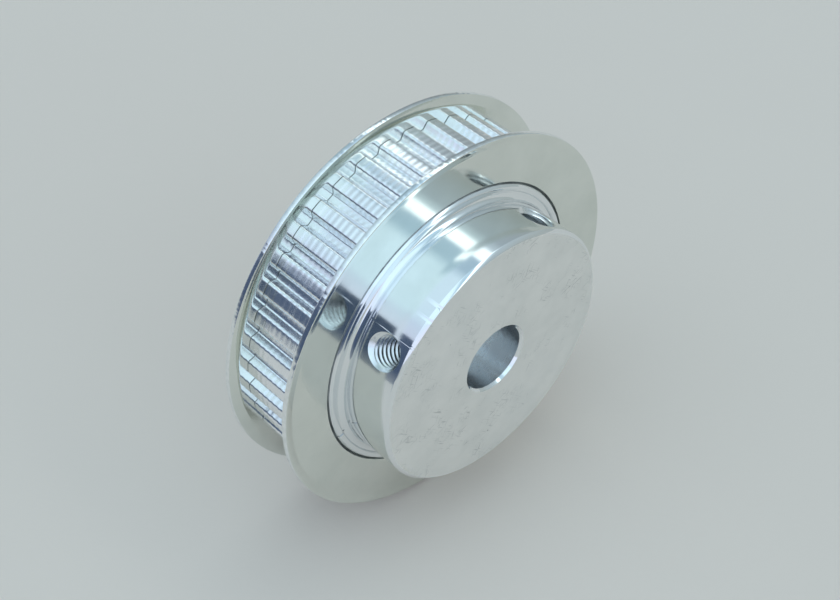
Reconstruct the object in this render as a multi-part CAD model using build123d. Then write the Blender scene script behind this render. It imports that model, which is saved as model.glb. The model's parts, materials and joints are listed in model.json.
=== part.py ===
from build123d import *
import os
from math import cos, pi, radians, tan

# Timing belt pulley for an XL belt (5.08 mm pitch): a toothed rim and a hub turned from one
# piece of aluminium, a sheet-steel flange pressed on each side of the teeth and held by a rolled
# lip, and two socket set screws in the hub, a quarter turn apart.
#
# Lengths are in millimetres. Every piece is first drawn with the pulley's axis along local +Z,
# the hub at +Z and the pulley's top at local +Y. It is then turned to the frame of the part:
# the axis lies along Y, the hub points to -Y, +Z is up, and the origin is on the axis in the
# middle of the toothed face. The pulley stands on the rims of its two flanges.

# ---- driving dimensions ----
TOOTH_COUNT = 40
BELT_PITCH = 5.08
PITCH_LINE_OFFSET = 0.254       # the belt's cords run this far outside the tooth tips
GROOVE_DEPTH = 1.40
GROOVE_FLOOR = 1.32             # width of the flat at the root of a groove
GROOVE_HALF_ANGLE = 25.0        # each flank, from the groove's own centre line
TIP_ROUNDING = 0.64
ROOT_ROUNDING = 0.41
FACE_WIDTH = 12.0               # length of the teeth, between the flanges

FLANGE_DIAMETER = 71.0
FLANGE_BORE = 53.4
FLANGE_SHEET = 1.0
FLANGE_FLAT_RADIUS = 33.9       # outside this radius the flange leans away from the belt
FLANGE_FLARE = 0.5              # how far it has leaned at the rim
FLANGE_BEND = 1.2               # inner radius of the bend where the lean starts
FLANGE_EDGE_ROUNDING = 0.2      # rolled-over edge that the blanking tool leaves on one side

HUB_DIAMETER = 47.5
HUB_FACE_FROM_CENTRE = 17.5
HUB_CHAMFER = 0.6
HUB_ROOT_FILLET = 0.5
BORE_DIAMETER = 12.0
BORE_CHAMFER = 0.45

LIP_OUTER_RADIUS = 26.05        # foot of the lip, beside the flange's bore
LIP_INNER_RADIUS = 25.1
LIP_HEIGHT = 0.4                # the crest stands this far above the end face
LIP_TAPER = 0.2                 # both walls lean in by this much over that height
LIP_CREST_ROUNDING = 0.12
SEAT_LENGTH = 0.3               # the part of the seat that still touches the flange's bore

SCREW_ANGLES = {"set_screw_a": -57.5, "set_screw_b": 32.5}   # from the top, towards +X
SCREW_FROM_HUB_FACE = 4.4
SCREW_HOLE_DIAMETER = 6.0       # M6 thread, drawn plain
COUNTERSINK_DIAMETER = 6.3
SCREW_DIAMETER = 5.9
SCREW_LENGTH = 8.0
SCREW_TIP_RADIUS = 6.8          # distance from the pulley's axis to the backed-off tip
SCREW_END_CHAMFER = 0.5
SOCKET_FLATS = 3.0              # across flats
SOCKET_DEPTH = 3.5
SOCKET_DRILL_ANGLE = 60.0       # half angle of the cone that the drill left below the hexagon
POINT_DIAMETER = 4.0
POINT_LENGTH = 1.0
CUP_DIAMETER = 3.0
CUP_DEPTH = 0.7

# ---- worked out from them ----
TIP_RADIUS = TOOTH_COUNT * BELT_PITCH / (2 * pi) - PITCH_LINE_OFFSET
ROOT_RADIUS = TIP_RADIUS - GROOVE_DEPTH
TOOTH_STEP = 360.0 / TOOTH_COUNT
HALF_FACE = FACE_WIDTH / 2
END_FACE = HALF_FACE + FLANGE_SHEET      # height of the body's faces beside the flanges
SEAT_RADIUS = FLANGE_BORE / 2
HUB_RADIUS = HUB_DIAMETER / 2
BORE_RADIUS = BORE_DIAMETER / 2
SCREW_HEIGHT = HUB_FACE_FROM_CENTRE - SCREW_FROM_HUB_FACE

STAND = Rot(90, 0, 0)                    # local +Z to -Y, local +Y to +Z
CUT_MARGIN = 1.0                         # how far a cutter runs past the surface that it opens


def corners_at(outline, spots):
    """The outline's own corners that lie nearest to the given points."""
    return [outline.vertices().sort_by_distance(spot)[0] for spot in spots]


def groove_outline(angle):
    """One trapezoid groove, open at the tips, with its centre line at an angle from local +Y."""
    outside = TIP_RADIUS + CUT_MARGIN
    half_floor = GROOVE_FLOOR / 2
    half_mouth = half_floor + (outside - ROOT_RADIUS) * tan(radians(GROOVE_HALF_ANGLE))
    groove = Polyline(
        (-half_floor, ROOT_RADIUS),
        (half_floor, ROOT_RADIUS),
        (half_mouth, outside),
        (-half_mouth, outside),
        close=True,
    )
    return Rot(0, 0, -angle) * make_face(groove)


def corners_between(outline, low, high):
    """The outline's corners whose distance from the axis is between two radii."""
    return [v for v in outline.vertices() if low < Vector(v.X, v.Y, 0).length < high]


def toothed_disc():
    """The toothed rim as a full disc. A tooth's middle is in line with each set screw."""
    outline = Circle(TIP_RADIUS)
    for index in range(TOOTH_COUNT):
        outline -= groove_outline(SCREW_ANGLES["set_screw_a"] + (index + 0.5) * TOOTH_STEP)
    middle = (ROOT_RADIUS + TIP_RADIUS) / 2
    outline = fillet(corners_between(outline, middle, TIP_RADIUS + CUT_MARGIN), TIP_ROUNDING)
    outline = fillet(corners_between(outline, ROOT_RADIUS - CUT_MARGIN, middle), ROOT_ROUNDING)
    return extrude(outline, amount=HALF_FACE, both=True)


def lip_corners(side):
    """The rolled lip on one side, from the flange's seat inwards. Side is +1 or -1."""
    crest = side * (END_FACE + LIP_HEIGHT)
    return [
        (SEAT_RADIUS, side * (HALF_FACE + SEAT_LENGTH)),
        (LIP_OUTER_RADIUS, side * END_FACE),
        (LIP_OUTER_RADIUS - LIP_TAPER, crest),
        (LIP_INNER_RADIUS + LIP_TAPER, crest),
        (LIP_INNER_RADIUS, side * END_FACE),
    ]


def turned_core():
    """Everything inside the toothed rim: seats, lips, faces and hub, as one turned shape."""
    rear = lip_corners(-1)
    front = lip_corners(1)
    hub_corners = [
        (HUB_RADIUS, END_FACE),
        (HUB_RADIUS, HUB_FACE_FROM_CENTRE - HUB_CHAMFER),
        (HUB_RADIUS - HUB_CHAMFER, HUB_FACE_FROM_CENTRE),
        (BORE_RADIUS + BORE_CHAMFER, HUB_FACE_FROM_CENTRE),
        (BORE_RADIUS, HUB_FACE_FROM_CENTRE - BORE_CHAMFER),
        (BORE_RADIUS, BORE_CHAMFER - END_FACE),
        (BORE_RADIUS + BORE_CHAMFER, -END_FACE),
    ]
    outline = make_face(Polyline(*reversed(rear), *front, *hub_corners, close=True))
    crests = [(r, z, 0) for r, z in rear[2:4] + front[2:4]]
    outline = fillet(corners_at(outline, crests), LIP_CREST_ROUNDING)
    outline = fillet(corners_at(outline, [(HUB_RADIUS, END_FACE, 0)]), HUB_ROOT_FILLET)
    return revolve(Plane.XZ * outline, axis=Axis.Z)


def at_screw(angle, distance):
    """Placing for a shape drawn along +Z: along a screw's axis, at a distance from the bore's."""
    return Rot(0, 0, -angle) * Pos(0, distance, SCREW_HEIGHT) * Rot(-90, 0, 0)


def screw_hole(angle):
    """The cutter for one radial screw hole with its countersink, from the bore outwards."""
    hole_radius = SCREW_HOLE_DIAMETER / 2
    sink_radius = COUNTERSINK_DIAMETER / 2
    start = BORE_RADIUS / 2
    drop = HUB_RADIUS - (HUB_RADIUS ** 2 - sink_radius ** 2) ** 0.5
    sink_bottom = HUB_RADIUS - drop - (sink_radius - hole_radius)
    sink_height = HUB_RADIUS + CUT_MARGIN - sink_bottom
    from_bottom = (Align.CENTER, Align.CENTER, Align.MIN)
    drill = Cylinder(hole_radius, HUB_RADIUS + CUT_MARGIN - start, align=from_bottom)
    sink = Cone(hole_radius, hole_radius + sink_height, sink_height, align=from_bottom)
    return at_screw(angle, start) * drill + at_screw(angle, sink_bottom) * sink


def pulley_body():
    """Teeth, flange seats, rolled lips and hub in one piece."""
    body = toothed_disc() + turned_core()
    body -= Cylinder(BORE_RADIUS, 2 * HUB_FACE_FROM_CENTRE + CUT_MARGIN)
    for angle in SCREW_ANGLES.values():
        body -= screw_hole(angle)
    return body


def front_flange():
    """The flange on the hub's side: a flat sheet ring whose rim leans away from the belt."""
    rim_radius = FLANGE_DIAMETER / 2
    inner = HALF_FACE
    outer = HALF_FACE + FLANGE_SHEET
    outline = make_face(
        Polyline(
            (SEAT_RADIUS, inner),
            (FLANGE_FLAT_RADIUS, inner),
            (rim_radius, inner + FLANGE_FLARE),
            (rim_radius, outer + FLANGE_FLARE),
            (FLANGE_FLAT_RADIUS, outer),
            (SEAT_RADIUS, outer),
            close=True,
        )
    )
    outline = fillet(corners_at(outline, [(FLANGE_FLAT_RADIUS, outer, 0)]), FLANGE_BEND)
    outline = fillet(
        corners_at(outline, [(FLANGE_FLAT_RADIUS, inner, 0)]), FLANGE_BEND + FLANGE_SHEET
    )
    soft_edges = [(SEAT_RADIUS, outer, 0), (rim_radius, outer + FLANGE_FLARE, 0)]
    outline = fillet(corners_at(outline, soft_edges), FLANGE_EDGE_ROUNDING)
    return revolve(Plane.XZ * outline, axis=Axis.Z)


def rear_flange():
    """The same flange on the other side of the teeth."""
    return mirror(front_flange(), about=Plane.XY)


def set_screw(angle):
    """A socket set screw with a cup point, backed off so that the bore is free."""
    radius = SCREW_DIAMETER / 2
    point_radius = POINT_DIAMETER / 2
    outline = Polyline(
        (0, CUP_DEPTH),
        (CUP_DIAMETER / 2, 0),
        (point_radius, 0),
        (radius, POINT_LENGTH),
        (radius, SCREW_LENGTH - SCREW_END_CHAMFER),
        (radius - SCREW_END_CHAMFER, SCREW_LENGTH),
        (0, SCREW_LENGTH),
        close=True,
    )
    screw = revolve(Plane.XZ * make_face(outline), axis=Axis.Z)
    corner_radius = SOCKET_FLATS / 2 / cos(radians(30))
    socket = Pos(0, 0, SCREW_LENGTH - SOCKET_DEPTH) * extrude(
        RegularPolygon(corner_radius, 6), amount=SOCKET_DEPTH + CUT_MARGIN
    )
    drill_depth = SOCKET_FLATS / 2 / tan(radians(SOCKET_DRILL_ANGLE))
    drill_tip = Pos(0, 0, SCREW_LENGTH - SOCKET_DEPTH) * Cone(
        0, SOCKET_FLATS / 2, drill_depth, align=(Align.CENTER, Align.CENTER, Align.MAX)
    )
    return at_screw(angle, SCREW_TIP_RADIUS) * (screw - socket - drill_tip)


def write(name, shape):
    """Turn a piece to the part's frame and write its STEP file."""
    export_step(STAND * shape, os.path.join("parts", name + ".step"))


os.makedirs("parts", exist_ok=True)
write("pulley_body", pulley_body())
write("front_flange", front_flange())
write("rear_flange", rear_flange())
for screw_name, screw_angle in SCREW_ANGLES.items():
    write(screw_name, set_screw(screw_angle))
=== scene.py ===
import json
import math

import bpy
import numpy as np
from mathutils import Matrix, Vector


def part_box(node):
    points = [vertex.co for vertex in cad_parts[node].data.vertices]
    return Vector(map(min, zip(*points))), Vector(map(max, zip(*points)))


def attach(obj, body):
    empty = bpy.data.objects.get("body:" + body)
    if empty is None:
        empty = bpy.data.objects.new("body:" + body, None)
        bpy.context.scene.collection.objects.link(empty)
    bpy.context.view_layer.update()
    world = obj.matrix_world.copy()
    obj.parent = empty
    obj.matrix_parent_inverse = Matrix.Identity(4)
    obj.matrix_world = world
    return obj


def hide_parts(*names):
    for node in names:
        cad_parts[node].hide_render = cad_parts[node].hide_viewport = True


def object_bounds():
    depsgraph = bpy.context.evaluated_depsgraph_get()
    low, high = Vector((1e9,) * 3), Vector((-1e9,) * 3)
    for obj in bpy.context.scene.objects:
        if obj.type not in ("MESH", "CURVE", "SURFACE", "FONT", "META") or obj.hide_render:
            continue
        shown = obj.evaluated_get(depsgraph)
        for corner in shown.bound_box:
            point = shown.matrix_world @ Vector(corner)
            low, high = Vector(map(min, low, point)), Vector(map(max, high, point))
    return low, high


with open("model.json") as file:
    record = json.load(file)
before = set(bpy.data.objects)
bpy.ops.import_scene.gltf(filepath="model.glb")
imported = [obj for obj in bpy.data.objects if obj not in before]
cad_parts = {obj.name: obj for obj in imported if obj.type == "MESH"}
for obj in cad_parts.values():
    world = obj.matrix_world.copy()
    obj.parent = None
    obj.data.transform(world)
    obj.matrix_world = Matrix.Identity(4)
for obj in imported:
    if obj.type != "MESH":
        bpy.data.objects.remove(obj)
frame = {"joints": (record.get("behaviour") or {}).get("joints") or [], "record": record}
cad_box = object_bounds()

# Timing belt pulley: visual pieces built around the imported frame.
#
# Shapes are drawn in millimetres in polar terms: a radius from the pulley's axis, a height along
# the axis towards the hub (the frame's -Y), and an angle from the top (+Z) towards +X.
MM = 0.001

# ---- sizes read from the frame ----
body_low, body_high = (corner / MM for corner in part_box("pulley_body"))
flange_low, flange_high = (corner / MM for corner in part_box("front_flange"))
mounts = {mount["name"]: mount for mount in frame["record"]["mounts"]}
HUB_FACE = -body_low.y
LIP_CREST = body_high.y
HALF_FACE = -flange_high.y
RIM_RADIUS = flange_high.z - 0.01   # just inside the CAD's faceted rim
END_FACE = mounts["rear_face"]["pos_m"][1] / MM
BORE_RADIUS = mounts["bore"]["dims"]["r_mm"]
TIP_RADIUS = mounts["belt_track"]["pos_m"][2] / MM

# ---- the pulley's own sizes, in millimetres and degrees ----
CLOSE = 0.01                    # sizes nearer than this are taken as the same
TOOTH_COUNT = 40
FIRST_TOOTH = -57.5             # a tooth's middle is in line with this screw
GROOVE_DEPTH = 1.40
GROOVE_FLOOR = 1.32             # width of the flat at the root of a groove
GROOVE_HALF_ANGLE = 25.0        # each flank, from the groove's own centre line
TIP_ROUNDING = 0.64
ROOT_ROUNDING = 0.41
TOOTH_EDGE_BREAK = 0.10         # the teeth's end edges are broken by this much
HOB_FEED = 1.2                  # the hob leaves one shallow scallop for each turn of the blank
HOB_STEPS = 4                   # rows of the grid for each scallop
HOB_DEPTH = 0.055
FLOOR_PHASE = 0.2               # how far the scallops are shifted, in feeds, on the groove's floor
FLANK_PHASE = 0.4               # and on its flanks, against those on the land

FLANGE_BORE_RADIUS = 26.7
FLANGE_FLAT_RADIUS = 33.9       # outside this radius the flange leans away from the belt
FLANGE_FLARE = 0.5              # how far it has leaned at the rim
FLANGE_SHEET = 1.0
FLANGE_BEND = 0.7               # inner radius of the bend where the lean starts
FLANGE_INNER_EDGES = (0.03, 0.06)   # rounding at the bore and at the rim, on the belt's side
FLANGE_OUTER_EDGES = (0.12, 0.2)    # the same on the far side
BURR_DEPTH = 0.016              # typical roughness of the sheared rim
BURR_BAND = 0.08                # it lies within this much of the rim's radius
SHEARED_BAND = 0.06             # and the bare sheared metal within this much

SEAT_LENGTH = 0.45              # the part of the seat that touches the flange's bore
GAP_FLOOR_RADIUS = 26.56        # the gap between the flange and the rolled lip
GAP_WALL_RADIUS = 26.46
GAP_FLOOR_LEAN = 0.1            # the gap's floor leans outwards by this much
GAP_DEPTH = 0.3                 # from the end face down to where the gap starts to close
LIP_OUTER_RADIUS = 26.32
LIP_CREST_RADII = (26.02, 25.3)
LIP_INNER_RADIUS = 25.1
LIP_ROUNDINGS = (0.1, 0.16, 0.12, 0.04)     # foot, crest, crest and foot, from the outside in

HUB_RADIUS = 23.75
HUB_CHAMFER = 0.6
HUB_EDGE_ROUNDINGS = (0.08, 0.05)
HUB_ROOT_FILLET = 1.0
HUB_ROWS = (10.0, 14.5)         # heights of extra rows of the grid on the hub
BORE_CHAMFER = 0.45
BORE_ROWS = (12.0, 0.0)         # and in the bore

THREAD_PITCH = 1.0
THREAD_FLANK = 30.0             # flank angle of a metric thread
THREAD_START = 3.6              # distance from the pulley's axis, inside the bore
CORNER_SHARE = 0.2              # the part of a flank's height that its eased corners take up
CORNER_STRETCH = 1.1            # an eased corner is this much longer than it is high
CORNER_EASE = 0.02
TAP_TURNS = 22
HOLE_ROOT_RADIUS = 3.0
HOLE_CREST_RADIUS = 2.5
HOLE_ROOT_HALF_WIDTH = 0.07
COUNTERSINK_RADIUS = 3.05
COUNTERSINK_TIP_RADIUS = 2.2
COUNTERSINK_TOOL_LENGTH = 3.0

ROD_TURNS = 12
SCREW_CREST_RADIUS = 2.95
SCREW_ROOT_RADIUS = 2.39
SCREW_CREST_HALF_WIDTH = 0.06
SCREW_BLANK_RADIUS = 3.0        # beyond the thread's crests, so that the rod alone makes them
SCREW_LENGTH = 8.0
SCREW_END_CHAMFER = 0.55
POINT_RADIUS = 2.0
POINT_LENGTH = 1.05
CUP_RADIUS = 1.5
CUP_DEPTH = 0.7
SOCKET_FLATS = 3.0              # across flats
SOCKET_DEPTH = 3.5
SOCKET_DRILL_DEPTH = 0.8        # cone that the drill left below the hexagon

# Handling marks, as (angle, half width in degrees, depth).
LIP_CRACK = (-108.0, 0.3, 0.2)
EDGE_NICKS = ((-32.0, 0.5, 0.10), (-38.0, 0.35, 0.06), (-106.5, 0.4, 0.05), (61.0, 0.4, 0.05))
HUB_SCRATCH = (-49.6, 0.22, 0.03)
FACE_NICK = (-106.5, 0.5, 0.08)
FACE_NICK_RADIUS = 19.4
FACE_NICK_HALF_LENGTH = 0.25

ROUND_STEPS = 22 * TOOTH_COUNT  # columns of the body's grid, 22 for each tooth
FLANGE_STEPS = 900
THREAD_STEPS = 48
TURNED_STEPS = 96               # round a screw or a countersink
SHARP_ANGLE = 30.0

# ---- the studio, in metres and degrees ----
CAMERA_AZIMUTH = -43.229        # 0 looks along +Y
CAMERA_ELEVATION = 44.785
CAMERA_DISTANCE = 0.258
CAMERA_TARGET = (0.0003, 0.0006, 0.0001)
CAMERA_LENS = 65.957            # millimetres, on a sensor 36 mm wide
FLOOR_HALF = 4.0
# The card's tones are its own glow, not lit colour: it paints a dark reflection, paler towards the
# floor, into the polished metal.
CARD_LEFT, CARD_HALF_LENGTH, CARD_TOP = -0.25, 0.26, 0.144
CARD_FADE = 0.045               # the card is paler over this height above the floor
CARD_FOOT_TONE = (0.24, 0.28, 0.32, 1)
CARD_TONE = (0.055, 0.085, 0.15, 1)
BACKDROP_TONE = (0.60, 0.61, 0.60, 1)

# Wall tones by angle about the pulley's axis, in degrees from the top towards +X.
WALL_TONES = (
    (-180.0, (0.42, 0.45, 0.45)),
    (-110.0, (0.50, 0.54, 0.58)),
    (-95.0, (0.80, 0.86, 1.02)),
    (-61.0, (0.74, 0.84, 1.02)),
    (-50.0, (0.70, 0.86, 1.04)),
    (-44.0, (0.77, 1.00, 1.15)),
    (-3.0, (0.77, 1.00, 1.13)),
    (6.0, (0.46, 0.65, 0.78)),
    (19.0, (0.46, 0.65, 0.78)),
    (22.0, (1.60, 1.80, 1.85)),
    (30.0, (1.60, 1.80, 1.85)),
    (34.0, (0.62, 0.77, 0.84)),
    (43.0, (0.41, 0.50, 0.55)),
    (84.0, (0.35, 0.40, 0.40)),
    (180.0, (0.42, 0.45, 0.45)),
)
# The walls' strength falls off towards the rear, by the direction's part along +Y.
FADE_FROM, FADE_TO = 0.3, 0.72
FRONT_STRENGTH, REAR_STRENGTH = 1.12, 0.6


# ---- outlines ----
def rounded(corners):
    """An open outline through corners (across, along, rounding, steps), with arcs at rounded ones."""
    points = []
    last = len(corners) - 1
    for index, (across, along, rounding, steps) in enumerate(corners):
        here = np.array((across, along), float)
        if rounding == 0 or index in (0, last):
            points.append(here)
            continue
        back = np.array(corners[index - 1][:2], float) - here
        ahead = np.array(corners[index + 1][:2], float) - here
        back /= np.linalg.norm(back)
        ahead /= np.linalg.norm(ahead)
        half = math.acos(np.clip(back @ ahead, -1, 1)) / 2
        middle = (back + ahead) / np.linalg.norm(back + ahead)
        centre = here + middle * rounding / math.sin(half)
        start = here + back * rounding / math.tan(half) - centre
        end = here + ahead * rounding / math.tan(half) - centre
        turn = math.atan2(start[0] * end[1] - start[1] * end[0], start @ end)
        for step in range(steps + 1):
            angle = turn * step / steps
            spin = np.array(((math.cos(angle), -math.sin(angle)), (math.sin(angle), math.cos(angle))))
            points.append(centre + spin @ start)
    return points


def tooth_outline():
    """One pitch of the toothed outline, as (angle from the tooth's middle, radius, hob phase)."""
    root = TIP_RADIUS - GROOVE_DEPTH
    lean = math.radians(GROOVE_HALF_ANGLE)
    floor_half = GROOVE_FLOOR / 2
    tangent = ROOT_ROUNDING * math.tan((math.pi / 2 - lean) / 2)
    into_tooth = np.array((math.cos(lean), -math.sin(lean)))
    up_flank = np.array((math.sin(lean), math.cos(lean)))
    foot = np.array((floor_half, root))

    # The tip arc touches the flank and the tip circle from inside.
    start = foot + into_tooth * TIP_ROUNDING
    reach = TIP_RADIUS - TIP_ROUNDING
    along = start @ up_flank
    slide = -along + math.sqrt(along ** 2 - start @ start + reach ** 2)
    tip_centre = start + up_flank * slide

    points = [(0.0, root, FLOOR_PHASE), (floor_half - tangent, root, FLOOR_PHASE)]
    root_centre = np.array((floor_half - tangent, root + ROOT_ROUNDING))
    for step in (1, 2, 3):
        angle = -math.pi / 2 + (math.pi / 2 - lean) * step / 3
        x, y = root_centre + ROOT_ROUNDING * np.array((math.cos(angle), math.sin(angle)))
        points.append((x, y, FLANK_PHASE))
    first = math.pi - lean
    last = math.atan2(tip_centre[1], tip_centre[0])
    for step in range(5):
        angle = first + (last - first) * step / 4
        x, y = tip_centre + TIP_ROUNDING * np.array((math.cos(angle), math.sin(angle)))
        points.append((x, y, FLANK_PHASE if step < 2 else 0.0))
    half_pitch = math.pi / TOOTH_COUNT
    polar = [(half_pitch - math.atan2(x, y), math.hypot(x, y), phase) for x, y, phase in points]
    land_edge = polar[-1][0]
    polar.append((land_edge / 2, TIP_RADIUS, 0.0))
    after = polar[::-1]                       # tooth middle side first, groove middle last
    before = [(-angle, radius, -phase) for angle, radius, phase in after[:-1]][::-1]
    return before + [(0.0, TIP_RADIUS, 0.0)] + after


def lip_corners():
    """The rolled lip from the flange's seat inwards, as (radius, height, rounding, steps)."""
    seat_end = HALF_FACE + SEAT_LENGTH
    crest_outer, crest_inner = LIP_CREST_RADII
    outer_foot, outer_crest, inner_crest, inner_foot = LIP_ROUNDINGS
    return [
        (FLANGE_BORE_RADIUS, HALF_FACE, 0, 0),
        (FLANGE_BORE_RADIUS, seat_end, 0, 0),
        (GAP_FLOOR_RADIUS, seat_end + GAP_FLOOR_LEAN, 0, 0),
        (GAP_WALL_RADIUS, END_FACE - GAP_DEPTH, 0, 0),
        (LIP_OUTER_RADIUS, END_FACE, outer_foot, 1),
        (crest_outer, LIP_CREST, outer_crest, 3),
        (crest_inner, LIP_CREST, inner_crest, 2),
        (LIP_INNER_RADIUS, END_FACE, inner_foot, 1),
    ]


# ---- meshes ----
def spots(radius, height, angle):
    """Points in the frame, in millimetres, from polar terms."""
    radius, height, angle = np.broadcast_arrays(radius, height, angle)
    return np.stack((radius * np.sin(angle), -height, radius * np.cos(angle)), axis=-1)


def new_object(name, points, faces, slots, materials):
    """A mesh object in metres from points in millimetres, with its faces turned outwards."""
    mesh = bpy.data.meshes.new(name)
    mesh.from_pydata((np.asarray(points) * MM).tolist(), [], faces)
    for material in materials:
        mesh.materials.append(material)
    mesh.polygons.foreach_set("material_index", slots)
    if signed_volume(mesh) < 0:
        mesh.flip_normals()
    mesh.update()
    piece = bpy.data.objects.new(name, mesh)
    bpy.context.scene.collection.objects.link(piece)
    return piece


def signed_volume(mesh):
    """Six times the mesh's volume, negative where its faces look inwards."""
    mesh.calc_loop_triangles()
    corners = np.empty(len(mesh.loop_triangles) * 3, np.int32)
    mesh.loop_triangles.foreach_get("vertices", corners)
    points = np.empty(len(mesh.vertices) * 3, np.float32)
    mesh.vertices.foreach_get("co", points)
    a, b, c = (points.reshape(-1, 3)[corners.reshape(-1, 3)[:, i]].astype(float) for i in range(3))
    return float(np.einsum("ij,ij->i", a, np.cross(b, c)).sum())


def torus_grid(rings, ring_slots):
    """Points, quads and slots of rings joined in order, the last one to the first."""
    count, size = len(rings), len(rings[0])
    points = np.concatenate(rings)
    faces = []
    slots = []
    for row in range(count):
        below = row * size
        above = (row + 1) % count * size
        for column in range(size):
            after = (column + 1) % size
            faces.append((below + column, below + after, above + after, above + column))
        slots += [ring_slots[row]] * size
    return points, faces, slots


def lathe(outline, steps, slot, name, materials, place):
    """A turned solid along local +Z. The outline's ends on the axis become single points."""
    points = []
    rows = []
    for radius, height in outline:
        if radius == 0:
            rows.append([len(points)] * steps)
            points.append((0.0, 0.0, height))
            continue
        rows.append(list(range(len(points), len(points) + steps)))
        for step in range(steps):
            angle = 2 * math.pi * step / steps
            points.append((radius * math.cos(angle), radius * math.sin(angle), height))
    faces = []
    for low, high in zip(rows, rows[1:]):
        for step in range(steps):
            after = (step + 1) % steps
            corners = [low[step], low[after], high[after], high[step]]
            faces.append(tuple(dict.fromkeys(corners)))
    return new_object(name, place(np.array(points)), faces, [slot] * len(faces), materials)


def thread_rod(outline, start, turns, slot, name, materials, place):
    """A closed rod with a right-hand thread along local +Z.

    The outline is one pitch of (height, radius), and the rod starts at a given height.
    """
    depth = len(outline)
    last = turns * THREAD_STEPS
    points = []
    for step in range(last + 1):
        angle = 2 * math.pi * step / THREAD_STEPS
        rise = start + THREAD_PITCH * step / THREAD_STEPS
        for height, radius in outline:
            points.append((radius * math.cos(angle), radius * math.sin(angle), rise + height))

    def at(step, row):
        """The vertex of a row, where the row after the last is the next turn's first."""
        if row == depth:
            return at(step + THREAD_STEPS, 0)
        return step * depth + row

    faces = []
    for step in range(last):
        for row in range(depth):
            if row == depth - 1 and step + 1 + THREAD_STEPS > last:
                continue
            faces.append((at(step, row), at(step + 1, row), at(step + 1, row + 1), at(step, row + 1)))
    bottom = [at(step, 0) for step in range(THREAD_STEPS + 1)]
    bottom += [at(0, row) for row in range(depth - 1, 0, -1)]
    top = [at(step, depth - 1) for step in range(last - THREAD_STEPS, last + 1)]
    top += [at(last, row) for row in range(depth - 2, -1, -1)]
    cap = THREAD_PITCH / 2
    for loop, height in ((bottom, start - cap), (top[::-1], start + turns * THREAD_PITCH + cap)):
        centre = len(points)
        points.append((0.0, 0.0, height))
        for here, after in zip(loop, loop[1:] + loop[:1]):
            faces.append((centre, after, here))
    return new_object(name, place(np.array(points)), faces, [slot] * len(faces), materials)


def boolean(target, cutter, operation):
    """Applies one exact boolean to the target and removes the cutter."""
    modifier = target.modifiers.new("cut", "BOOLEAN")
    modifier.solver = "EXACT"
    modifier.operation = operation
    modifier.object = cutter
    bpy.context.view_layer.update()
    graph = bpy.context.evaluated_depsgraph_get()
    made = bpy.data.meshes.new_from_object(target.evaluated_get(graph))
    target.modifiers.clear()
    target.data = made
    bpy.data.objects.remove(cutter)


def set_normals(mesh, turned_radii=(), flat_heights=()):
    """Smooth shading with sharp edges, and exact normals on turned cylinders and flat ends."""
    mesh.polygons.foreach_set("use_smooth", [True] * len(mesh.polygons))
    mesh.set_sharp_from_angle(angle=math.radians(SHARP_ANGLE))
    corner_count = len(mesh.loops)
    normals = np.empty(corner_count * 3, np.float32)
    mesh.corner_normals.foreach_get("vector", normals)
    normals = normals.reshape(-1, 3)
    vertex = np.empty(corner_count, np.int32)
    mesh.loops.foreach_get("vertex_index", vertex)
    points = np.empty(len(mesh.vertices) * 3, np.float32)
    mesh.vertices.foreach_get("co", points)
    corners = points.reshape(-1, 3)[vertex] / MM
    sizes = np.empty(len(mesh.polygons), np.int32)
    mesh.polygons.foreach_get("loop_total", sizes)
    face_normals = np.empty(len(mesh.polygons) * 3, np.float32)
    mesh.polygons.foreach_get("normal", face_normals)
    facing = np.repeat(face_normals.reshape(-1, 3), sizes, axis=0)
    radius = np.hypot(corners[:, 0], corners[:, 2])
    outward = np.stack((corners[:, 0], np.zeros(corner_count), corners[:, 2]), axis=1)
    outward /= np.maximum(radius, 1e-9)[:, None]
    along = (facing * outward).sum(1)
    for turned_radius in turned_radii:
        chosen = (np.abs(radius - turned_radius) < CLOSE) & (np.abs(along) > 0.999)
        normals[chosen] = outward[chosen] * np.sign(along[chosen])[:, None]
    for height in flat_heights:
        chosen = (np.abs(-corners[:, 1] - height) < CLOSE) & (np.abs(facing[:, 1]) > 0.9999)
        normals[chosen] = facing[chosen]
    mesh.normals_split_custom_set(normals.tolist())


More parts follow.
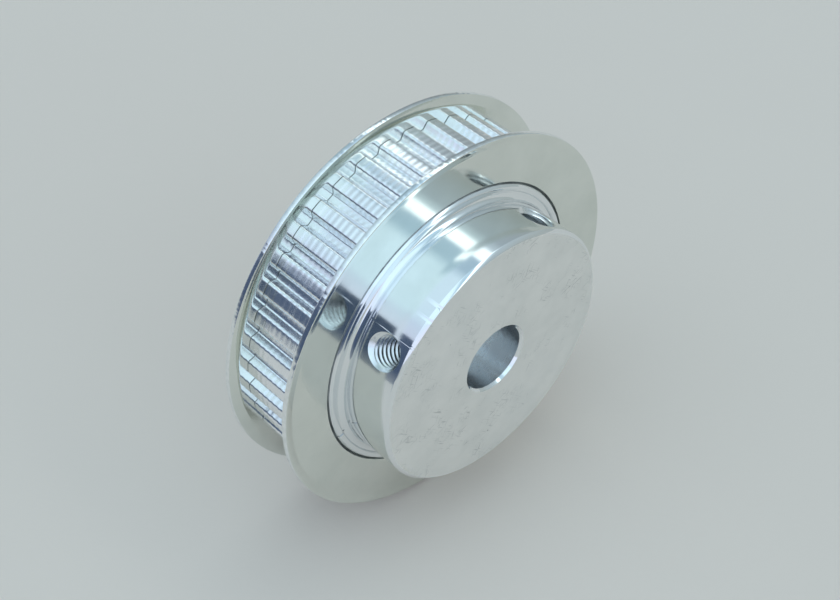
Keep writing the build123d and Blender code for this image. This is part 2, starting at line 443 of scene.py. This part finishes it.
# ---- material helpers ----
class Nodes:
    """A short way to write a material's nodes."""

    def __init__(self, name):
        self.material = bpy.data.materials.new(name)
        self.material.use_nodes = True
        self.tree = self.material.node_tree
        self.shader = self.tree.nodes["Principled BSDF"]

    def add(self, kind, links=(), **settings):
        """A node with its settings, and its inputs joined or given by (input, value) pairs."""
        node = self.tree.nodes.new(kind)
        for key, value in settings.items():
            setattr(node, key, value)
        for socket, value in links:
            self.put(node.inputs[socket], value)
        return node

    def put(self, socket, value):
        """Joins a node's output to a socket, or sets its value."""
        if isinstance(value, bpy.types.NodeSocket):
            self.tree.links.new(value, socket)
        else:
            socket.default_value = value

    def maths(self, operation, first, second=0.0):
        """One arithmetic step on two values."""
        node = self.add("ShaderNodeMath", ((0, first), (1, second)), operation=operation)
        return node.outputs[0]

    def noise(self, vector, scale, detail=2.0, roughness=0.5):
        """Noise in space, from 0 to 1, with its scale in features per metre."""
        node = self.add(
            "ShaderNodeTexNoise",
            (("Vector", vector), ("Scale", scale), ("Detail", detail), ("Roughness", roughness)),
        )
        return node.outputs["Fac"]

    def lines(self, along, scale, detail=2.0):
        """Noise that only changes along one value, as tool marks do."""
        node = self.add(
            "ShaderNodeTexNoise",
            (("W", along), ("Scale", scale), ("Detail", detail)),
            noise_dimensions="1D",
        )
        return node.outputs["Fac"]

    def spread(self, value, low, high, from_low=0.0, from_high=1.0):
        """A value's own range, clamped and spread from low to high."""
        node = self.add(
            "ShaderNodeMapRange",
            (("Value", value), ("From Min", from_low), ("From Max", from_high)),
        )
        node.inputs["To Min"].default_value = low
        node.inputs["To Max"].default_value = high
        return node.outputs["Result"]

    def blend(self, share, first, second):
        """A colour between two others. The Mix node's colour sockets come after its number ones."""
        node = self.add("ShaderNodeMix", ((0, share), (6, first), (7, second)), data_type="RGBA")
        return node.outputs[2]

    def bump(self, height, distance, below=None):
        """Relief of a real depth in metres, on top of another relief if one is given."""
        node = self.add("ShaderNodeBump", (("Height", height), ("Distance", distance)))
        node.inputs["Strength"].default_value = 1.0
        if below is not None:
            self.put(node.inputs["Normal"], below)
        return node.outputs["Normal"]


SMUDGE_RANGE = (0.35, 0.75)         # the noise values where smudging starts and is full
WEAR_RANGE = (0.3, 0.7)
SMUDGE_SHARE, TOOL_SHARE = 0.7, 0.3     # what smudges and tool marks add to the roughness
HAIRLINE_TURNS = (0.35, 1.25, 2.3)  # radians about the pulley's axis
HAIRLINE_STRETCH = 16.0             # a hairline is this much longer than it is wide
HAIRLINE_TONE = (0.52, 0.54, 0.54, 1)
SPECK_TONE = (0.30, 0.31, 0.31, 1)
SCRATCH_DEPTH = 0.000003            # metres
QUARTER_TURN = 0.25                 # of a turn, to lay the highlights across the marks


def polar_coordinates(nodes):
    """(object coordinates, radius from the axis, position along it), in metres."""
    place = nodes.add("ShaderNodeTexCoord").outputs["Object"]
    parts = nodes.add("ShaderNodeSeparateXYZ", ((0, place),)).outputs
    squares = nodes.maths(
        "ADD", nodes.maths("MULTIPLY", parts[0], parts[0]), nodes.maths("MULTIPLY", parts[2], parts[2])
    )
    return place, nodes.maths("SQRT", squares), parts[1]


def handling_marks(nodes, place, base):
    """Fine crossing hairlines and small dark specks, for a face that has been knocked about.

    Returns the marked colour and the hairlines, which are 1 in a scratch and 0 beside it.
    """
    patches = nodes.spread(nodes.noise(place, 260.0), 0.0, 1.0, 0.5, 0.65)
    hairlines = None
    for turn in HAIRLINE_TURNS:
        spun = nodes.add("ShaderNodeMapping", (("Vector", place),), vector_type="TEXTURE")
        spun.inputs["Rotation"].default_value = (0.0, turn, 0.0)
        spun.inputs["Scale"].default_value = (1.0, 1.0, HAIRLINE_STRETCH)
        streaks = nodes.noise(spun.outputs[0], 5200.0, 1.0)
        line = nodes.maths("MULTIPLY", nodes.spread(streaks, 0.0, 1.0, 0.62, 0.70), patches)
        hairlines = line if hairlines is None else nodes.maths("MAXIMUM", hairlines, line)
    cells = nodes.add("ShaderNodeTexVoronoi", (("Vector", place), ("Scale", 420.0)))
    size = nodes.spread(nodes.noise(place, 240.0, 1.0), 0.0, 0.085, 0.52, 0.72)
    specks = nodes.maths("LESS_THAN", cells.outputs["Distance"], size)
    base = nodes.blend(nodes.maths("MULTIPLY", hairlines, 0.8), base, HAIRLINE_TONE)
    base = nodes.blend(nodes.maths("MULTIPLY", specks, 0.7), base, SPECK_TONE)
    return base, hairlines


def metal(name, colour, dark, rough, smudge_scale, marks, grain, anisotropy=0.0, handled=False):
    """A worked metal: tool marks along the turned outline, smudges, and a fine grain.

    colour is clean and dark is smudged metal, and rough is (polished, smudged). marks is (lines per
    metre, depth in metres) and grain is (features per metre, depth). anisotropy stretches the
    highlights across the turning marks, and handled adds scratches and specks.
    """
    nodes = Nodes(name)
    place, radius, along = polar_coordinates(nodes)
    outline = nodes.maths("ADD", radius, along)
    smudges = nodes.noise(place, smudge_scale, 4.0, 0.6)
    tool_marks = nodes.lines(outline, marks[0], 3.0)
    fine = nodes.noise(place, grain[0], 2.0)
    share = nodes.spread(smudges, 0.0, 1.0, *SMUDGE_RANGE)
    base = nodes.blend(share, colour, dark)
    if handled:
        base, scratches = handling_marks(nodes, place, base)
    nodes.put(nodes.shader.inputs["Base Color"], base)
    smudge_part = nodes.maths("MULTIPLY", smudges, SMUDGE_SHARE)
    tool_part = nodes.maths("MULTIPLY", tool_marks, TOOL_SHARE)
    wear = nodes.maths("ADD", smudge_part, tool_part)
    nodes.put(nodes.shader.inputs["Roughness"], nodes.spread(wear, *rough, *WEAR_RANGE))
    relief = nodes.bump(tool_marks, marks[1])
    relief = nodes.bump(fine, grain[1], relief)
    if handled:
        relief = nodes.bump(scratches, -SCRATCH_DEPTH, relief)
    nodes.put(nodes.shader.inputs["Normal"], relief)
    nodes.shader.inputs["Metallic"].default_value = 1.0
    if anisotropy:
        nodes.shader.inputs["Anisotropic"].default_value = anisotropy
        nodes.shader.inputs["Anisotropic Rotation"].default_value = QUARTER_TURN
        tangent = nodes.add("ShaderNodeTangent", direction_type="RADIAL", axis="Y").outputs[0]
        nodes.put(nodes.shader.inputs["Tangent"], tangent)
    return nodes.material


def floor_material():
    """A plain pale surface with a hint of unevenness."""
    nodes = Nodes("pale_floor")
    place = nodes.add("ShaderNodeTexCoord").outputs["Object"]
    patches = nodes.noise(place, 9.0, 3.0)
    nodes.put(
        nodes.shader.inputs["Base Color"],
        nodes.blend(patches, (0.69, 0.605, 0.54, 1), (0.725, 0.64, 0.572, 1)),
    )
    nodes.shader.inputs["Roughness"].default_value = 0.9
    nodes.shader.inputs["Specular IOR Level"].default_value = 0.0
    nodes.put(nodes.shader.inputs["Normal"], nodes.bump(nodes.noise(place, 900.0, 2.0), 0.00002))
    return nodes.material


turned = metal(
    "turned_aluminium", (0.88, 0.90, 0.91, 1), (0.82, 0.85, 0.87, 1), rough=(0.06, 0.12),
    smudge_scale=90.0, marks=(6000.0, 0.7e-6), grain=(2500.0, 0.5e-6), anisotropy=0.3,
)
faced = metal(
    "faced_aluminium", (0.88, 0.885, 0.87, 1), (0.80, 0.81, 0.795, 1), rough=(0.32, 0.46),
    smudge_scale=160.0, marks=(5000.0, 3e-6), grain=(2600.0, 4e-6), anisotropy=0.3, handled=True,
)
hobbed = metal(
    "hobbed_aluminium", (0.95, 0.96, 0.98, 1), (0.88, 0.90, 0.93, 1), rough=(0.17, 0.30),
    smudge_scale=300.0, marks=(14000.0, 1.2e-6), grain=(2500.0, 2.5e-6),
)
# The bore's metal is paler and bluer than the other aluminium: painted light, standing in for the
# bluish light that the bore reflects.
bored = metal(
    "bored_aluminium", (0.95, 0.98, 1.0, 1), (0.86, 0.91, 0.95, 1), rough=(0.2, 0.34),
    smudge_scale=250.0, marks=(7000.0, 4e-6), grain=(3000.0, 2e-6), anisotropy=0.3,
)
tapped = metal(
    "tapped_aluminium", (0.84, 0.86, 0.87, 1), (0.74, 0.77, 0.79, 1), rough=(0.18, 0.30),
    smudge_scale=400.0, marks=(12000.0, 1e-6), grain=(6000.0, 1e-6),
)
plated = metal(
    "plated_sheet_steel", (0.81, 0.835, 0.79, 1), (0.71, 0.74, 0.695, 1), rough=(0.04, 0.15),
    smudge_scale=90.0, marks=(1500.0, 0.3e-6), grain=(700.0, 0.5e-6),
)
screw_steel = metal(
    "screw_steel", (0.30, 0.30, 0.31, 1), (0.20, 0.20, 0.21, 1), rough=(0.25, 0.4),
    smudge_scale=400.0, marks=(9000.0, 1.5e-6), grain=(6000.0, 1.5e-6),
)
# Painted shade: a dark grey metal for the gap between each flange and its lip, for the teeth's broken
# end edges and for the lip's crack, where these narrow places fall into shadow.
crevice_shade = metal(
    "grimy_crevice", (0.46, 0.48, 0.50, 1), (0.20, 0.21, 0.22, 1), rough=(0.3, 0.5),
    smudge_scale=500.0, marks=(9000.0, 2e-6), grain=(6000.0, 2e-6),
)
sheared = metal(
    "sheared_steel_edge", (0.93, 0.95, 0.96, 1), (0.78, 0.80, 0.81, 1), rough=(0.08, 0.2),
    smudge_scale=900.0, marks=(3000.0, 2e-6), grain=(2600.0, 6e-6),
)
TURNED, FACED, HOBBED, BORED, TAPPED, PAINTED_SHADE = range(6)
body_materials = [turned, faced, hobbed, bored, tapped, crevice_shade]
PLATED, SHEARED = range(2)


# ---- the pulley's body ----
def hob_scallop(height, phase):
    """Depth of the hob's scallops: ridges at whole feeds, a shallow valley between them."""
    share = (height / HOB_FEED + phase) % 1.0
    return HOB_DEPTH * 4 * share * (1 - share)


def toothed_rings():
    """Rings of the toothed rim, from the hub's side to the rear."""
    pitch = 2 * math.pi / TOOTH_COUNT
    one = tooth_outline()
    start = math.radians(FIRST_TOOTH)
    angle = np.array([start + tooth * pitch + a for tooth in range(TOOTH_COUNT) for a, _, _ in one])
    radius = np.array([r for _, r, _ in one] * TOOTH_COUNT)
    phase = np.array([p for _, _, p in one] * TOOTH_COUNT)
    flat = np.stack((radius * np.sin(angle), radius * np.cos(angle)), axis=1)
    tangent = np.roll(flat, -1, axis=0) - np.roll(flat, 1, axis=0)
    inward = np.stack((-tangent[:, 1], tangent[:, 0]), axis=1)
    inward /= np.linalg.norm(inward, axis=1)[:, None]
    inward *= -np.sign((inward * flat).sum(1).mean())
    count = round(2 * HALF_FACE / HOB_FEED) * HOB_STEPS
    heights = [HALF_FACE - 2 * HALF_FACE * step / count for step in range(1, count)]
    edge = HALF_FACE - TOOTH_EDGE_BREAK
    rings = []
    for height in [HALF_FACE, edge, *heights, -edge, -HALF_FACE]:
        if abs(height) == HALF_FACE:
            depth = np.full(len(flat), TOOTH_EDGE_BREAK)
        else:
            depth = hob_scallop(height, phase)
        shape = flat + inward * depth[:, None]
        rings.append(np.stack((shape[:, 0], np.full(len(shape), -height), shape[:, 1]), axis=1))
    return rings, angle


def nearest_column(angles, where):
    """The grid column nearest an angle in degrees."""
    away = (np.degrees(angles) - where + 180) % 360 - 180
    return int(np.argmin(np.abs(away)))


def dent(radius, angle, where, half_width, depth):
    """Lowers a ring in a small smooth dip at the column nearest an angle in degrees."""
    away = np.degrees(angle - angle[nearest_column(angle, where)])
    away = (away + 180) % 360 - 180
    return radius - depth * np.exp(-(away / half_width) ** 2)


def in_gap(radius):
    """True on the seat and in the narrow gap between the flange and the rolled lip."""
    return radius > LIP_OUTER_RADIUS + CLOSE


def front_outline():
    """The front lip, the hub and the hub's end face, as rounded corners of the turned outline."""
    chamfer_rounding, face_rounding = HUB_EDGE_ROUNDINGS
    corners = lip_corners()
    corners.append((HUB_RADIUS, END_FACE, HUB_ROOT_FILLET, 5))
    corners += [(HUB_RADIUS, height, 0, 0) for height in HUB_ROWS]
    corners.append((HUB_RADIUS, HUB_FACE - HUB_CHAMFER, chamfer_rounding, 2))
    corners.append((HUB_RADIUS - HUB_CHAMFER, HUB_FACE, face_rounding, 1))
    for offset in (FACE_NICK_HALF_LENGTH, 0, -FACE_NICK_HALF_LENGTH):
        corners.append((FACE_NICK_RADIUS + offset, HUB_FACE, 0, 0))
    corners.append((BORE_RADIUS + BORE_CHAMFER, HUB_FACE, 0, 0))
    return rounded(corners)


def marked_ring(radius, height, angles):
    """One ring of the front outline, with the handling marks that cross it."""
    ring_radius = np.full(ROUND_STEPS, float(radius))
    ring_height = np.full(ROUND_STEPS, float(height))
    on_lip = height > (END_FACE + LIP_CREST) / 2 and radius > LIP_INNER_RADIUS
    on_hub = abs(radius - HUB_RADIUS) < CLOSE and height > END_FACE + HUB_ROOT_FILLET
    on_edge = height > HUB_FACE - 2 * HUB_CHAMFER and radius > HUB_RADIUS - 2 * HUB_CHAMFER
    if on_lip:
        ring_height = dent(ring_height, angles, *LIP_CRACK)
    if on_hub:
        ring_radius = dent(ring_radius, angles, *HUB_SCRATCH)
    if on_edge:
        for nick in EDGE_NICKS:
            ring_radius = dent(ring_radius, angles, *nick)
    if abs(radius - FACE_NICK_RADIUS) < CLOSE:
        ring_height = dent(ring_height, angles, *FACE_NICK)
    return spots(ring_radius, ring_height, angles)


def pulley_body():
    """Teeth, seats, lips, faces, hub and bore as one closed mesh, with two tapped holes."""
    teeth, tooth_angles = toothed_rings()
    angles = tooth_angles[0] + np.arange(ROUND_STEPS) * 2 * math.pi / ROUND_STEPS
    front = front_outline()
    rear = rounded(lip_corners() + [(BORE_RADIUS + BORE_CHAMFER, END_FACE, 0, 0)])
    bore_heights = [HUB_FACE - BORE_CHAMFER, *BORE_ROWS, BORE_CHAMFER - END_FACE]

    # A row's slot is that of the faces between its ring and the next one.
    rings = []
    slots = []
    for radius, height in front:
        rings.append(marked_ring(radius, height, angles))
        # The seat and the gap take the painted shade.
        if in_gap(radius):
            slots.append(PAINTED_SHADE)
        else:
            slots.append(FACED if abs(height - HUB_FACE) < CLOSE else TURNED)
    slots[-1] = TURNED                      # the bore's front chamfer
    for height in bore_heights:
        rings.append(spots(BORE_RADIUS, height, angles))
        slots.append(BORED)
    slots[-1] = TURNED                      # its rear chamfer
    for radius, height in rear[::-1]:
        rings.append(spots(radius, -height, angles))
        # The rear seat and gap take the painted shade too.
        slots.append(PAINTED_SHADE if in_gap(radius) else TURNED)
    slots[len(front) + len(bore_heights)] = FACED
    for ring in teeth[::-1]:
        rings.append(ring)
        slots.append(HOBBED)
    # The teeth's broken end edges beside both flanges take the painted shade.
    slots[-len(teeth)] = PAINTED_SHADE            # the broken edges beside both flanges
    slots[-2] = PAINTED_SHADE

    points, faces, face_slots = torus_grid(rings, slots)
    # Two columns across the lip's crack take the painted shade.
    crack = nearest_column(angles, LIP_CRACK[0])
    for row, (radius, height) in enumerate(front):
        if height > END_FACE - CLOSE and radius > HUB_RADIUS + HUB_ROOT_FILLET + CLOSE:
            for column in (crack - 1, crack):
                face_slots[row * ROUND_STEPS + column % ROUND_STEPS] = PAINTED_SHADE
    body = new_object("pulley_body_detailed", points, faces, face_slots, body_materials)
    for joint in frame["joints"]:
        for cutter in hole_cutters(joint):
            boolean(body, cutter, "DIFFERENCE")
    set_normals(body.data, (HUB_RADIUS, BORE_RADIUS), (HUB_FACE, -END_FACE, END_FACE))
    return body


# ---- screws and their holes ----
def screw_place(joint):
    """Turns points drawn along local +Z into the frame: out from the axis along the screw."""
    out = -Vector(joint["axis"]).normalized()
    low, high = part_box(joint["child"])
    level = (low.y + high.y) / 2 / MM
    across = Vector((0, 1, 0))
    turn = np.array((across, out.cross(across), out)).T

    def place(points):
        return points @ turn.T + np.array((0, level, 0))

    return place


def thread_outline(half_top, top, bottom):
    """One pitch of a thread as (height, radius) rows, from its flat of a given half width."""
    run = abs(top - bottom) * math.tan(math.radians(THREAD_FLANK))
    ease = CORNER_SHARE * run * CORNER_STRETCH
    drop = (bottom - top) * CORNER_SHARE
    foot = half_top + run
    return [
        (-half_top, top),
        (half_top, top),
        (half_top + ease, top + drop),
        (foot - ease, bottom - drop),
        (foot + CORNER_EASE, bottom),
        (THREAD_PITCH - foot - CORNER_EASE, bottom),
        (THREAD_PITCH - foot + ease, bottom - drop),
        (THREAD_PITCH - half_top - ease, top + drop),
    ]


def hole_cutters(joint):
    """The tap and the countersink for one screw hole."""
    place = screw_place(joint)
    outline = thread_outline(HOLE_ROOT_HALF_WIDTH, HOLE_ROOT_RADIUS, HOLE_CREST_RADIUS)
    tap = thread_rod(outline, THREAD_START, TAP_TURNS, TAPPED, "tap", body_materials, place)
    rim = math.sqrt(HUB_RADIUS ** 2 - COUNTERSINK_RADIUS ** 2)
    bottom = rim - (COUNTERSINK_RADIUS - COUNTERSINK_TIP_RADIUS)
    top = bottom + COUNTERSINK_TOOL_LENGTH
    cone = [
        (0.0, bottom),
        (COUNTERSINK_TIP_RADIUS, bottom),
        (COUNTERSINK_TIP_RADIUS + COUNTERSINK_TOOL_LENGTH, top),
        (0.0, top),
    ]
    sink = lathe(cone, TURNED_STEPS, TAPPED, "countersink", body_materials, place)
    return tap, sink


def set_screw(joint):
    """A threaded set screw with a hexagon socket and a cup point, where the CAD has it."""
    place = screw_place(joint)
    low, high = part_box(joint["child"])
    out = -Vector(joint["axis"]).normalized()
    middle = ((low + high) / 2 / MM).dot(out)
    tip = middle - SCREW_LENGTH / 2
    end = middle + SCREW_LENGTH / 2
    blank_outline = [
        (0.0, tip + CUP_DEPTH),
        (CUP_RADIUS, tip),
        (POINT_RADIUS, tip),
        (SCREW_BLANK_RADIUS, tip + POINT_LENGTH),
        (SCREW_BLANK_RADIUS, end - SCREW_END_CHAMFER),
        (SCREW_BLANK_RADIUS - SCREW_END_CHAMFER, end),
        (0.0, end),
    ]
    name = joint["child"] + "_threaded"
    blank = lathe(blank_outline, TURNED_STEPS, 0, name, [screw_steel], place)

    # The rod's thread starts a whole number of turns from the hole's, so the two are in phase.
    outline = thread_outline(SCREW_CREST_HALF_WIDTH, SCREW_CREST_RADIUS, SCREW_ROOT_RADIUS)
    start = THREAD_START + math.floor(tip - THREAD_START) - 1
    rod = thread_rod(outline, start, ROD_TURNS, 0, "rod", [screw_steel], place)
    boolean(blank, rod, "INTERSECT")

    corner = SOCKET_FLATS / 2 / math.cos(math.radians(30))
    socket_outline = [
        (0.0, end - SOCKET_DEPTH - SOCKET_DRILL_DEPTH),
        (corner, end - SOCKET_DEPTH),
        (corner, end + 1),
        (0.0, end + 1),
    ]
    socket = lathe(socket_outline, 6, 0, "socket", [screw_steel], place)
    boolean(blank, socket, "DIFFERENCE")
    set_normals(blank.data)
    return blank


# ---- flanges ----
def flange(name, side, seed):
    """A pressed sheet ring with a leaning rim. Side is 1 for the hub's side, -1 for the rear."""
    inner = HALF_FACE
    outer = inner + FLANGE_SHEET
    inner_bore_edge, inner_rim_edge = FLANGE_INNER_EDGES
    outer_bore_edge, outer_rim_edge = FLANGE_OUTER_EDGES
    outline = rounded([
        (FLANGE_BORE_RADIUS, inner + 0.3 * FLANGE_SHEET, 0, 0),
        (FLANGE_BORE_RADIUS, inner, inner_bore_edge, 1),
        (FLANGE_FLAT_RADIUS, inner, FLANGE_BEND + FLANGE_SHEET, 6),
        (RIM_RADIUS, inner + FLANGE_FLARE, inner_rim_edge, 2),
        (RIM_RADIUS, outer + FLANGE_FLARE, outer_rim_edge, 4),
        (FLANGE_FLAT_RADIUS, outer, FLANGE_BEND, 6),
        (FLANGE_BORE_RADIUS, outer, outer_bore_edge, 3),
        (FLANGE_BORE_RADIUS, inner + 0.6 * FLANGE_SHEET, 0, 0),
    ])
    angles = np.arange(FLANGE_STEPS) * 2 * math.pi / FLANGE_STEPS
    burr = np.random.default_rng(seed).normal(0, 1, FLANGE_STEPS)
    rings = []
    slots = []
    for radius, height in outline:
        ring_radius = np.full(FLANGE_STEPS, float(radius))
        if radius > RIM_RADIUS - BURR_BAND:
            ring_radius -= np.abs(burr) * BURR_DEPTH
        rings.append(spots(ring_radius, side * height, angles))
        slots.append(SHEARED if radius > RIM_RADIUS - SHEARED_BAND else PLATED)
    points, faces, face_slots = torus_grid(rings, slots)
    ring = new_object(name, points, faces, face_slots, [plated, sheared])
    set_normals(ring.data, (), (side * inner, side * outer))
    return ring


# ---- assembly ----
def stand_for(piece, node, body):
    """The piece takes a CAD node's place on its body."""
    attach(piece, body)
    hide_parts(node)


stand_for(pulley_body(), "pulley_body", "pulley")
stand_for(flange("front_flange_pressed", 1, 11), "front_flange", "pulley")
stand_for(flange("rear_flange_pressed", -1, 12), "rear_flange", "pulley")
for joint in frame["joints"]:
    stand_for(set_screw(joint), joint["child"], joint["child"])


# ---- floor, light and camera ----
def make_floor():
    """A plain pale floor under the flange rims."""
    level = cad_box[0].z
    half = FLOOR_HALF
    corners = [(-half, -half, level), (half, -half, level), (half, half, level), (-half, half, level)]
    mesh = bpy.data.meshes.new("floor")
    mesh.from_pydata(corners, [], [(0, 1, 2, 3)])
    mesh.materials.append(floor_material())
    floor = bpy.data.objects.new("floor", mesh)
    bpy.context.scene.collection.objects.link(floor)


def make_world():
    """Studio walls whose tone changes softly with the angle about the pulley's axis."""
    world = bpy.data.worlds.new("studio")
    bpy.context.scene.world = world
    world.use_nodes = True
    tree = world.node_tree
    tree.nodes.clear()
    place = tree.nodes.new("ShaderNodeTexCoord").outputs["Generated"]
    parts = tree.nodes.new("ShaderNodeSeparateXYZ")
    tree.links.new(place, parts.inputs[0])

    angle = tree.nodes.new("ShaderNodeMath")
    angle.operation = "ARCTAN2"
    tree.links.new(parts.outputs[0], angle.inputs[0])
    tree.links.new(parts.outputs[2], angle.inputs[1])
    share = tree.nodes.new("ShaderNodeMapRange")
    share.inputs["From Min"].default_value = -math.pi
    share.inputs["From Max"].default_value = math.pi
    tree.links.new(angle.outputs[0], share.inputs["Value"])
    ramp = tree.nodes.new("ShaderNodeValToRGB")
    stops = ramp.color_ramp.elements
    while len(stops) > 1:
        stops.remove(stops[-1])
    for index, (where, tone) in enumerate(WALL_TONES):
        position = where / 360 + 0.5
        stop = stops[0] if index == 0 else stops.new(position)
        stop.position = position
        stop.color = (*tone, 1)
    tree.links.new(share.outputs["Result"], ramp.inputs[0])

    # The camera itself sees one plain tone behind the floor.
    seen = tree.nodes.new("ShaderNodeLightPath").outputs["Is Camera Ray"]
    pick = tree.nodes.new("ShaderNodeMix")
    pick.data_type = "RGBA"
    tree.links.new(seen, pick.inputs[0])
    tree.links.new(ramp.outputs[0], pick.inputs[6])
    pick.inputs[7].default_value = BACKDROP_TONE
    background = tree.nodes.new("ShaderNodeBackground")
    tree.links.new(pick.outputs[2], background.inputs["Color"])

    fade = tree.nodes.new("ShaderNodeMapRange")
    fade.inputs["From Min"].default_value = FADE_FROM
    fade.inputs["From Max"].default_value = FADE_TO
    fade.inputs["To Min"].default_value = FRONT_STRENGTH
    fade.inputs["To Max"].default_value = REAR_STRENGTH
    tree.links.new(parts.outputs[1], fade.inputs["Value"])
    tree.links.new(fade.outputs["Result"], background.inputs["Strength"])
    output = tree.nodes.new("ShaderNodeOutputWorld")
    tree.links.new(background.outputs[0], output.inputs["Surface"])


def make_card():
    """A dark panel on the left that glows with its own tones and is seen only in reflections: a
    painted dark reflection in the polished metal, paler near the floor.
    """
    low = cad_box[0].z
    corners = [
        (CARD_LEFT, -CARD_HALF_LENGTH, low),
        (CARD_LEFT, CARD_HALF_LENGTH, low),
        (CARD_LEFT, CARD_HALF_LENGTH, CARD_TOP),
        (CARD_LEFT, -CARD_HALF_LENGTH, CARD_TOP),
    ]
    mesh = bpy.data.meshes.new("dark_card")
    mesh.from_pydata(corners, [], [(0, 1, 2, 3)])
    nodes = Nodes("dark_card")
    nodes.shader.inputs["Base Color"].default_value = (0.0, 0.0, 0.0, 1)
    nodes.shader.inputs["Roughness"].default_value = 1.0
    place = nodes.add("ShaderNodeTexCoord").outputs["Object"]
    height = nodes.add("ShaderNodeSeparateXYZ", ((0, place),)).outputs[2]
    share = nodes.spread(height, 0.0, 1.0, low, low + CARD_FADE)
    nodes.put(nodes.shader.inputs["Emission Color"], nodes.blend(share, CARD_FOOT_TONE, CARD_TONE))
    nodes.shader.inputs["Emission Strength"].default_value = 1.0
    mesh.materials.append(nodes.material)
    card = bpy.data.objects.new("dark_card", mesh)
    card.visible_camera = False
    card.visible_diffuse = False
    card.visible_shadow = False
    bpy.context.scene.collection.objects.link(card)


def make_camera():
    """A camera that looks down on the hub's side from the left."""
    azimuth, elevation = math.radians(CAMERA_AZIMUTH), math.radians(CAMERA_ELEVATION)
    back = Vector((
        math.sin(azimuth) * math.cos(elevation),
        -math.cos(azimuth) * math.cos(elevation),
        math.sin(elevation),
    ))
    data = bpy.data.cameras.new("camera")
    data.lens = CAMERA_LENS
    data.sensor_width = 36.0
    data.clip_start = 0.01
    camera = bpy.data.objects.new("camera", data)
    camera.location = Vector(CAMERA_TARGET) + back * CAMERA_DISTANCE
    camera.rotation_mode = "QUATERNION"
    camera.rotation_quaternion = (-back).to_track_quat("-Z", "Y")
    bpy.context.scene.collection.objects.link(camera)
    bpy.context.scene.camera = camera


make_floor()
make_world()
make_card()
make_camera()
bpy.context.scene.view_settings.view_transform = "Standard"
